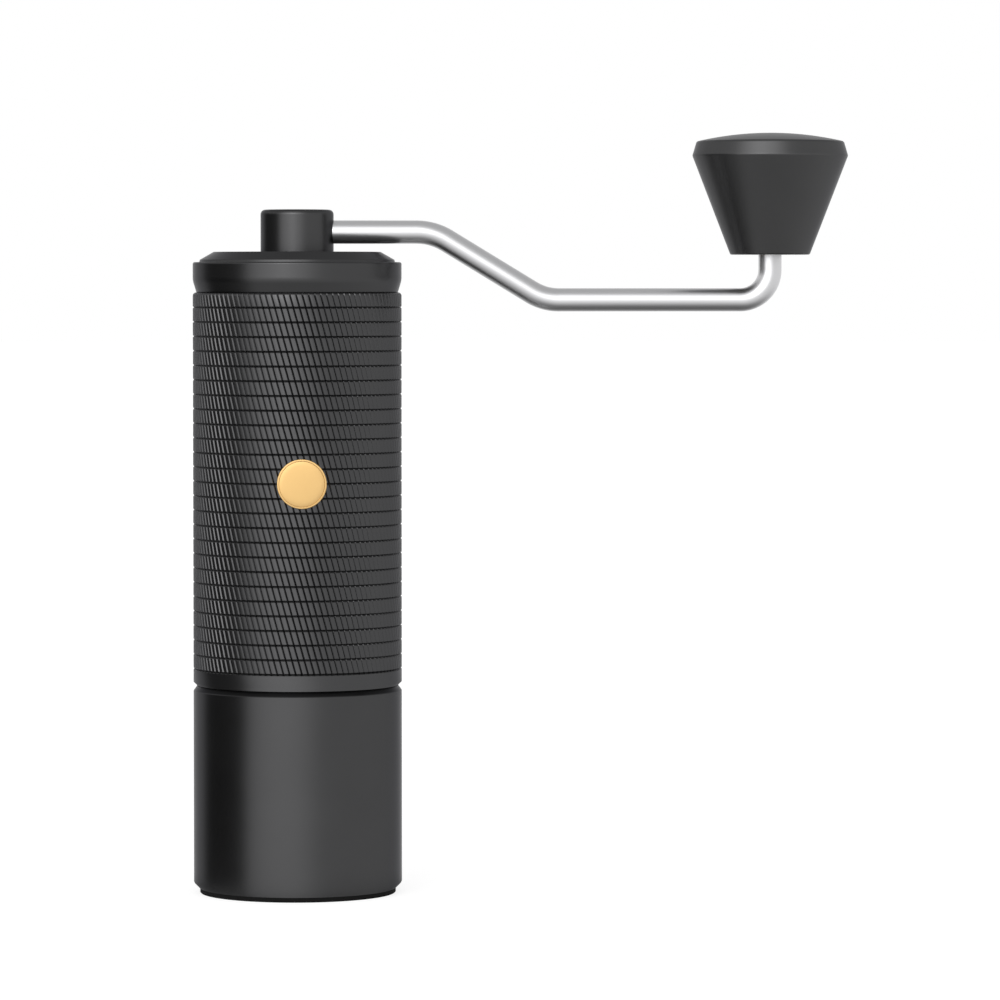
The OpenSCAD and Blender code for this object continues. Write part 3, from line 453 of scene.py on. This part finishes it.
# %% Sizes of the ribs and ring grooves
RIBS = 107
RIB_DEPTH = 0.24
RIB_SLANT = math.radians(15.48)
RIB_PHASE = math.radians(-95.28)
RIB_PHASE_DOWN = 2.3     # how far below the sleeve's top the phase holds
CREST_RISE = 0.02
SWELL = -CREST_RISE / RIB_DEPTH
RIB_SHAPE = [(0.0, 1.0), (0.17, 0.0), (0.335, SWELL * 0.75),
             (0.5, SWELL), (0.665, SWELL * 0.75), (0.83, 0.0)]
RING_PITCH = 3.6
RING_WIDTH = 0.6
RING_DEPTH = 0.28
TOP_LAND = 3.7
LEAST_BOTTOM_LAND = 4
EDGE_ROUND = 0.85
EDGE_BEVEL = 0.85
LID_GAP = 0.02
LINER_GAP = 0.03

lid_low, _ = low_high("lid_shell")
liner_r = low_high("hopper_liner")[1].x
bore_r = liner_r + LINER_GAP
grip_top = lid_low.z - LID_GAP
print("a rib every", round(TURN * body_r / RIBS, 3), "mm")

# %% [markdown]
# A row of the table below is a height, how far the surface lies in from the full radius, and what
# share of their depth the ribs have there. The rounded edge is a quarter circle in four steps. The
# grip has a bore too, so two loops on the liner's radius close the skin into a ring.

# %% Ribs round the sleeve
def grip_heights():
    """Every loop of the grip from the bottom up: height, inset, and share of the ribs' depth."""
    count = int((grip_top - sleeve_low.z - TOP_LAND - LEAST_BOTTOM_LAND) / RING_PITCH)
    grooves = [grip_top - TOP_LAND - k * RING_PITCH for k in range(count, -1, -1)]
    half = RING_WIDTH / 2
    loops = [(sleeve_low.z, EDGE_BEVEL, 0), (sleeve_low.z + EDGE_BEVEL, 0, 0),
             (grooves[0] - half, 0, 0)]
    for number, z in enumerate(grooves):
        if number:
            loops.append((z - half, CREST_RISE, 1))
        loops += [(z, RING_DEPTH, 1), (z + half, CREST_RISE, 1)]
    for degrees, share in ((0, 1), (22, 0.8), (45, 0.5), (68, 0.2), (90, 0)):
        a = math.radians(degrees)
        loops.append((grip_top - EDGE_ROUND * (1 - math.sin(a)),
                      CREST_RISE + EDGE_ROUND * (1 - math.cos(a)), share))
    return loops


def grip_loop(z, inset, ribs):
    """One loop of points round the sleeve at a height."""
    turn = RIB_PHASE + math.tan(RIB_SLANT) / body_r * (sleeve_high.z - RIB_PHASE_DOWN - z)
    loop = []
    for k in range(RIBS):
        for share, depth in RIB_SHAPE:
            angle = turn + TURN * (k + share) / RIBS
            r = body_r - inset - ribs * depth * RIB_DEPTH
            loop.append((r * math.cos(angle), r * math.sin(angle), z))
    return loop


def onto_bore(x, y, z):
    """The point of the bore that lies inward of a point."""
    share = bore_r / math.hypot(x, y)
    return x * share, y * share, z


rows = [grip_loop(*height) for height in grip_heights()]
rows += [[onto_bore(*point) for point in row] for row in (rows[-1], rows[0])]
grip = new_piece("knurled_grip", *skin(rows, closed_rows=True, loop=True), sharp=24)
print("the grip has", len(grip.data.polygons), "faces and", RIBS, "ribs")

# %% [markdown]
# The badge sits in a flat-bottomed pocket in the sleeve. Cutting the pocket out of the ribs as the
# real mill does leaves clean ends on them. The cutter is a plain turned bar, and the solver is the
# one for closed skins, which is quick on a mesh of this size.

# %% Pocket for the badge
POCKET_GAP = 0.03
OVERRUN = 2              # how far a cutter reaches past the surface
badge_low, badge_high = low_high("badge")
badge_r = (badge_high.x - badge_low.x) / 2
badge_z = (badge_high.z + badge_low.z) / 2


def cut(piece, cutter, sharp):
    """Takes the cutter's shape out of a piece, and removes the cutter."""
    change = piece.modifiers.new("cut", "BOOLEAN")
    change.operation = "DIFFERENCE"
    change.solver = "MANIFOLD"
    change.object = cutter
    graph = bpy.context.evaluated_depsgraph_get()
    mesh = bpy.data.meshes.new_from_object(piece.evaluated_get(graph))
    piece.modifiers.clear()
    piece.data = mesh
    bpy.data.objects.remove(cutter)
    smooth(piece, sharp)


def round_bar(name, radius, front, back, height, steps=96):
    """A closed bar along Y, to cut with."""
    rows = [[(radius * math.cos(TURN * k / steps), y, height + radius * math.sin(TURN * k / steps))
             for k in range(steps)] for y in (front, back)]
    points, faces = skin(rows, closed_rows=True, loop=False)
    faces += [list(range(steps)), list(range(steps, 2 * steps))]
    return new_piece(name, points, faces)


cut(grip, round_bar("pocket", badge_r + POCKET_GAP, -body_r - OVERRUN, badge_high.y, badge_z),
    sharp=24)
print("the pocket leaves", len(grip.data.polygons), "faces")

# %% [markdown]
# Where the sleeve meets the cup, both have a small bevel, as dull as the wall beside it. A bevel
# shaded by its own slope would mirror the dark or the bright part of the room as a hard line. So it
# takes the upright wall's normals: its outline stays, and its shade runs on from the wall.

# %% Shade a bevel like the wall
OUTWARD = 0.3            # a face that leans in further than this keeps its own normals


def wall_shading(piece, low, high, least_r):
    """Gives every outer face between two heights the upright wall's normals."""
    mesh = piece.data
    normals = [Vector()] * len(mesh.loops)
    for face in mesh.polygons:
        middle = face.center / MM
        outward = Vector((middle.x, middle.y, 0)).normalized()
        outer = middle.xy.length > least_r and face.normal.dot(outward) > OUTWARD
        if low < middle.z < high and outer:
            for loop in face.loop_indices:
                point = mesh.vertices[mesh.loops[loop].vertex_index].co
                normals[loop] = Vector((point.x, point.y, 0)).normalized()
    mesh.normals_split_custom_set(normals)


wall_shading(grip, sleeve_low.z, sleeve_low.z + EDGE_BEVEL + 1, body_r - EDGE_BEVEL)
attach(grip, "grinder_body")
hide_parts("body_sleeve")
print("the bevel at", round(sleeve_low.z, 2), "mm has the wall's shade")

# %% [markdown]
# ## The badge
#
# A small gilt disc, turned on a lathe: a raised rim, a fine groove inside it, and a face that
# swells by a tenth of a millimetre. Its face stays plain. It is an outline turned about the Y axis.

# %% Turned badge
RIM_ROUND = 0.12
RIM_WIDTH = 0.42
RIM_GROOVE = (0.55, 0.16)        # how far in from the edge, and how deep
FACE_EDGE = (0.68, 0.13)
FACE_DROP = 0.02
FACE_SWELL = 0.11
BADGE_STEPS = 128


def badge_outline(thickness):
    """Radius and height of each corner, from the middle of the back round to the front's."""
    outline = [(0, 0), (badge_r, 0), (badge_r, thickness - RIM_ROUND)]
    for degrees in (30, 60, 90):
        a = math.radians(degrees)
        outline.append((badge_r - RIM_ROUND * (1 - math.cos(a)),
                        thickness - RIM_ROUND * (1 - math.sin(a))))
    outline.append((badge_r - RIM_WIDTH, thickness))
    outline += [(badge_r - inward, thickness - depth) for inward, depth in (RIM_GROOVE, FACE_EDGE)]
    outline += [(r, thickness - FACE_DROP - FACE_SWELL * (r / badge_r) ** 2)
                for r in (4.5, 3.5, 2.5, 1.5, 0.7, 0.0)]
    return outline


def turned_badge():
    outline = badge_outline(badge_high.y - badge_low.y)
    rows = []
    for k in range(BADGE_STEPS):
        angle = TURN * k / BADGE_STEPS
        rows.append([(r * math.cos(angle), badge_high.y - h, badge_z + r * math.sin(angle))
                     for r, h in outline])
    return new_piece("turned_badge", *skin(rows, closed_rows=False, loop=True), sharp=40)


def weld(source, mesh, distance):
    """Writes one mesh into another, with points closer than a distance made one."""
    work = bmesh.new()
    work.from_mesh(source)
    bmesh.ops.remove_doubles(work, verts=work.verts, dist=distance)
    work.to_mesh(mesh)
    work.free()


badge = turned_badge()
weld(badge.data, badge.data, 0.001 * MM)
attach(badge, "grinder_body")
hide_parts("badge")
print("the badge has", len(badge.data.polygons), "faces")

# %% [markdown]
# ## Screw threads
#
# The cup screws onto the sleeve's neck, and the dial onto the end of the shaft. The CAD pieces are
# plain there, at the size of the thread's crests. A copy of each, with a screw-shaped groove taken
# out, keeps every other face as it is. Grooves only take metal away, so nothing can touch when the
# cup is lifted off. The groove runs out at both ends, as a thread that a tool has left.

# %% A screw-shaped cutter
CUTTER_REACH = 0.3
CUTTER_MOUTH = 0.46      # half the groove's width at the crest, in pitches
CUTTER_TIP = 0.1         # half its width at the bottom
CUTTER_STEPS = 72


def welded_copy(node, name):
    """A free copy of a CAD node, welded into one closed skin."""
    mesh = bpy.data.meshes.new(name)
    weld(nodes[node].data, mesh, 0.0005 * MM)
    if "custom_normal" in mesh.attributes:
        mesh.attributes.remove(mesh.attributes["custom_normal"])
    piece = bpy.data.objects.new(name, mesh)
    bpy.context.scene.collection.objects.link(piece)
    return piece


def screw_cutter(radius, low, high, pitch, depth):
    """A closed bar that climbs about Z. A negative depth cuts outward into a bore."""
    count = int((high - low) / pitch * CUTTER_STEPS)
    out = math.copysign(CUTTER_REACH, depth)
    section = [(out, -CUTTER_MOUTH), (out, CUTTER_MOUTH),
               (-depth, CUTTER_TIP), (-depth, -CUTTER_TIP)]
    rows = []
    for k in range(count + 1):
        r = radius + depth * max(0, 1 - 2 * min(k, count - k) / CUTTER_STEPS)
        angle = TURN * k / CUTTER_STEPS
        z = low + pitch * k / CUTTER_STEPS
        rows.append([((r + reach) * math.cos(angle), (r + reach) * math.sin(angle), z + h * pitch)
                     for reach, h in section])
    points, faces = skin(rows, closed_rows=True, loop=False)
    faces += [list(range(4)), list(range(4 * count, 4 * count + 4))]
    return new_piece("screw_cutter", points, faces)


def threaded(node, name, body, radius, low, high, pitch, depth):
    """A copy of a CAD node with a thread, which takes the node's place."""
    piece = welded_copy(node, name)
    before = len(piece.data.polygons)
    cut(piece, screw_cutter(radius, low, high, pitch, depth), sharp=26)
    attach(piece, body)
    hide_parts(node)
    print(name, "went from", before, "to", len(piece.data.polygons), "faces")
    return piece


# %% [markdown]
# The neck and the cup share one pitch, coarse enough that the cup comes off in a few turns. The
# shaft's end has a fine one: a turn of the dial moves the burr by a millimetre.

# %% Threads on the neck, in the cup and on the shaft
NECK_PITCH = 1.6
NECK_DEPTH = 0.5
CUP_PLAY = 0.05          # the cup's crests stand off the neck's by this much
SHAFT_PITCH = 1.0
SHAFT_DEPTH = 0.45
SHAFT_THREAD_R = 3.0

neck_low, _ = low_high("burr_housing")
seal_low, seal_high = low_high("neck_seal")
shaft_low, _ = low_high("drive_shaft")
_, dial_high = low_high("adjust_dial")
seal_wire = seal_high.z - seal_low.z
neck_r = -seal_low.x - seal_wire - 0.1
neck = threaded("burr_housing", "threaded_neck", "grinder_body", neck_r,
                neck_low.z + 1.1, seal_low.z - 1.0, NECK_PITCH, NECK_DEPTH)
cup = threaded("cup_shell", "threaded_cup", "cup", neck_r + CUP_PLAY,
               neck_low.z + 0.4, seal_low.z - 1.8, NECK_PITCH, -NECK_DEPTH)
shaft = threaded("drive_shaft", "threaded_shaft", "shaft", SHAFT_THREAD_R,
                 shaft_low.z + 0.5, dial_high.z - 0.6, SHAFT_PITCH, SHAFT_DEPTH)

# %% [markdown]
# The cup's mouth has a narrow chamfer on the outside, where it meets the sleeve. A ring with a
# slanted side takes it off the same copy. The chamfer is shaded like the wall, as the sleeve's is.

# %% Chamfer round the cup's mouth
SHOULDER_WIDTH = 0.9
SHOULDER_HEIGHT = 1.25
SIDE_OVERRUN = (0.12, 0.17)      # how far the slant runs on past the cup, outward and upward
RING_STEPS = 256
shoulder_z = cup_high.z - SHOULDER_HEIGHT


def ring(name, section):
    """A closed ring about Z from the corners of its section, each a radius and a height."""
    rows = []
    for k in range(RING_STEPS):
        angle = TURN * k / RING_STEPS
        rows.append([(r * math.cos(angle), r * math.sin(angle), z) for r, z in section])
    return new_piece(name, *skin(rows, closed_rows=True, loop=True))


inner_end = (body_r - SHOULDER_WIDTH - SIDE_OVERRUN[0], cup_high.z + SIDE_OVERRUN[1])
outer_end = (body_r + SIDE_OVERRUN[0], shoulder_z - SIDE_OVERRUN[1])
cut(cup, ring("shoulder", [inner_end, outer_end, (body_r + 1, cup_high.z + 1)]), sharp=26)
wall_shading(cup, cup_low.z, shoulder_z, body_r - 2)
print("the cup has", len(cup.data.polygons), "faces")

# %% [markdown]
# ## The spring
#
# A coil spring presses the inner burr down onto the dial. Its top end rests on a washer that stays
# at its height on the shaft. Its bottom end rests on the burr, which slides as the dial sets the
# grind. Here a welded copy of it, shaded smooth, takes the CAD node's place.

# %% A smooth copy of the spring
spring = welded_copy("burr_spring", "burr_spring_coil")
smooth(spring, 40)
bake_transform(spring)
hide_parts("burr_spring")

# %% [markdown]
# ## Finishes
#
# The body is aluminium with a satin black coat that still mirrors like metal, so it is a metal of
# a very dark colour. Bead blasting under the coat leaves a fine grain, and slow patches of more and
# less gloss keep a big plain wall alive. A metal brightens where one looks along it. The coat does
# that less than bare metal, so the tint of the edge is dark too.
#
# Three pieces of it differ a little. The ribs were rolled after turning, so they have no lathe
# rings. The cup's chamfer has a band of painted shade: a darker colour that stands in for the
# shadow where the cup meets the sleeve. The knob is turned and lacquered: a little less of a
# metal, so that a grey sheen lies over its reflections.

# %% Satin black metal
EDGE_TINT = (0.55, 0.55, 0.56)
# how dark the painted shade on the cup's chamfer is, as a share of the colour
PAINTED_SHADE_SHARE = 0.25


def shaded(colour, share):
    """A colour made lighter or darker."""
    return tuple(c * share for c in colour)


def satin_black(name, colour, roughness, lathe, shade_band=None):
    """Blasted and dyed aluminium, with faint rings where a lathe faced it, and a band of painted
    shade.
    """
    finish = new_finish(name, metallic=1.0, specular_tint=EDGE_TINT)
    patches = finish.noise(14 * MM, detail=3)
    finish.look("Roughness", roughness * (0.9 + patches * 0.2))
    paint = finish.mix(patches, shaded(colour, 0.94), shaded(colour, 1.06))
    # painted shade: over a band of heights the colour darkens, standing in for shadow at the chamfer
    if shade_band:
        _, _, height = finish.parts(finish.place())
        paint = finish.mix(height.between(*shade_band), paint, shaded(colour, PAINTED_SHADE_SHARE))
    finish.look("Base Color", paint)
    grain = finish.noise(0.22 * MM, detail=1)
    rings = finish.noise(0.16 * MM, where=finish.turned(), detail=1)
    finish.bump(grain * (1 - lathe) + rings * lathe, 0.004 * MM)
    return finish


BODY_COLOUR = (0.0600, 0.0600, 0.0612)
# the heights of the cup's chamfer that get the painted shade
cup_shade_band = ((shoulder_z - 0.05) * MM, (shoulder_z + 0.35) * MM)
black = satin_black("satin_black", BODY_COLOUR, 0.3, lathe=0.15)
ribbed = satin_black("satin_black_ribs", (0.066, 0.066, 0.0674), 0.32, lathe=0.0)
black_cup = satin_black("satin_black_cup", BODY_COLOUR, 0.3, lathe=0.15, shade_band=cup_shade_band)
knob_black = satin_black("knob_black", (0.067, 0.067, 0.068), 0.32, lathe=0.0)
knob_black.look("Metallic", 0.82)
print("black metal is ready")

# %% [markdown]
# ## Bare metals
#
# Steel and aluminium differ by colour and by how they were worked: the crank is drawn and polished
# rod, races and shaft are ground, the burrs are milled, and the bridges are turned. One recipe
# takes the colour, the gloss and the lines that the tool left: rings, lines along an axis, or
# none. Then each metal of the grinder is one call.

# %% Bare metal
def bare_metal(name, colour, roughness, lines, line_width, line_depth, stain=0.12):
    """Metal with tool lines along a pattern, and slow patches of gloss. Lines are given in mm."""
    finish = new_finish(name, metallic=1.0)
    where = {"rings": finish.turned, "none": finish.place}.get(lines)
    where = where() if where else finish.drawn("xyz".index(lines))
    marks = finish.noise(line_width * MM, where=where)
    patches = finish.noise(6 * MM, detail=3)
    finish.look("Roughness", roughness * (0.85 + marks * 0.2 + patches * 0.1))
    worn = patches * stain + marks * stain
    finish.look("Base Color", finish.mix(worn, colour, shaded(colour, 0.7)))
    finish.bump(marks, line_depth * MM)
    return finish


arm_steel = bare_metal("arm_steel", (0.63, 0.63, 0.64), 0.32, "x", 0.12, 0.002, stain=0.06)
bright_alloy = bare_metal("bright_alloy", (0.78, 0.79, 0.80), 0.3, "rings", 0.2, 0.006)
shaft_steel = bare_metal("shaft_steel", (0.64, 0.65, 0.66), 0.24, "z", 0.15, 0.004)
bearing_steel = bare_metal("bearing_steel", (0.72, 0.73, 0.74), 0.16, "rings", 0.1, 0.002,
                           stain=0.05)
spring_steel = bare_metal("spring_steel", (0.5, 0.5, 0.51), 0.3, "none", 0.3, 0.004)
burr_steel = bare_metal("burr_steel", (0.58, 0.59, 0.60), 0.27, "z", 0.2, 0.008)
bush_bronze = bare_metal("bush_bronze", (0.62, 0.42, 0.2), 0.42, "none", 0.25, 0.01)
badge_gold = bare_metal("badge_gold", (0.615, 0.405, 0.17), 0.45, "none", 0.3, 0.002, stain=0.04)
print("bare metals are ready")

# %% [markdown]
# ## Plastic and rubber
#
# The liner of the hopper and the plug inside the lid are moulded in black plastic. Their skin
# copies a finely eroded mould, so it has a matt grain and a soft sheen. Rubber is darker and
# duller, with a trace of dust. Both are plain dielectrics: a dark base with a rough clear skin
# over it.

# %% Moulded finishes
DUST = (0.16, 0.155, 0.15)


def moulded(name, colour, roughness, grain, depth, dust, **constants):
    """A moulded skin with an even grain and a trace of dust. Grain and depth are given in mm."""
    finish = new_finish(name, **constants)
    fine = finish.noise(grain * MM)
    patches = finish.noise(11 * MM, detail=3)
    finish.look("Base Color", finish.mix(patches * dust, colour, DUST))
    finish.look("Roughness", roughness * (0.9 + patches * 0.2))
    finish.bump(fine, depth * MM)
    return finish


dark_plastic = moulded("dark_plastic", (0.04, 0.04, 0.042), 0.5, 0.35, 0.012, dust=0.05)
foot_rubber = moulded("foot_rubber", (0.006, 0.006, 0.006), 0.8, 0.25, 0.01, dust=0.01,
                      specular_ior_level=0.1)
seal_rubber = moulded("seal_rubber", (0.02, 0.02, 0.02), 0.55, 0.2, 0.006, dust=0.04)
print("plastic and rubber are ready")

# %% [markdown]
# ## Dressing
#
# The record says which finish each CAD node wears, so one table dresses them all. The new pieces
# take theirs from a second list: the ribs and the cup have a black of their own.

# %% Dress every piece
finishes = {
    "black_metal": black, "foot_rubber": foot_rubber, "seal_rubber": seal_rubber,
    "badge_gold": badge_gold, "dark_plastic": dark_plastic, "knob_black": knob_black,
    "bright_alloy": bright_alloy, "burr_steel": burr_steel, "shaft_steel": shaft_steel,
    "arm_steel": arm_steel, "bearing_steel": bearing_steel, "spring_steel": spring_steel,
    "bush_bronze": bush_bronze,
}
new_pieces = [(grip, ribbed), (badge, badge_gold), (neck, black), (cup, black_cup),
              (shaft, shaft_steel), (spring, spring_steel)]


def dress(piece, finish):
    piece.data.materials.clear()
    piece.data.materials.append(finish.owner)


for part in frame["record"]["subparts"]:
    dress(nodes[part["node"]], finishes[part["material_slot"]])
for piece, finish in new_pieces:
    dress(piece, finish)
print(len(nodes), "CAD nodes and", len(new_pieces), "new pieces are dressed")
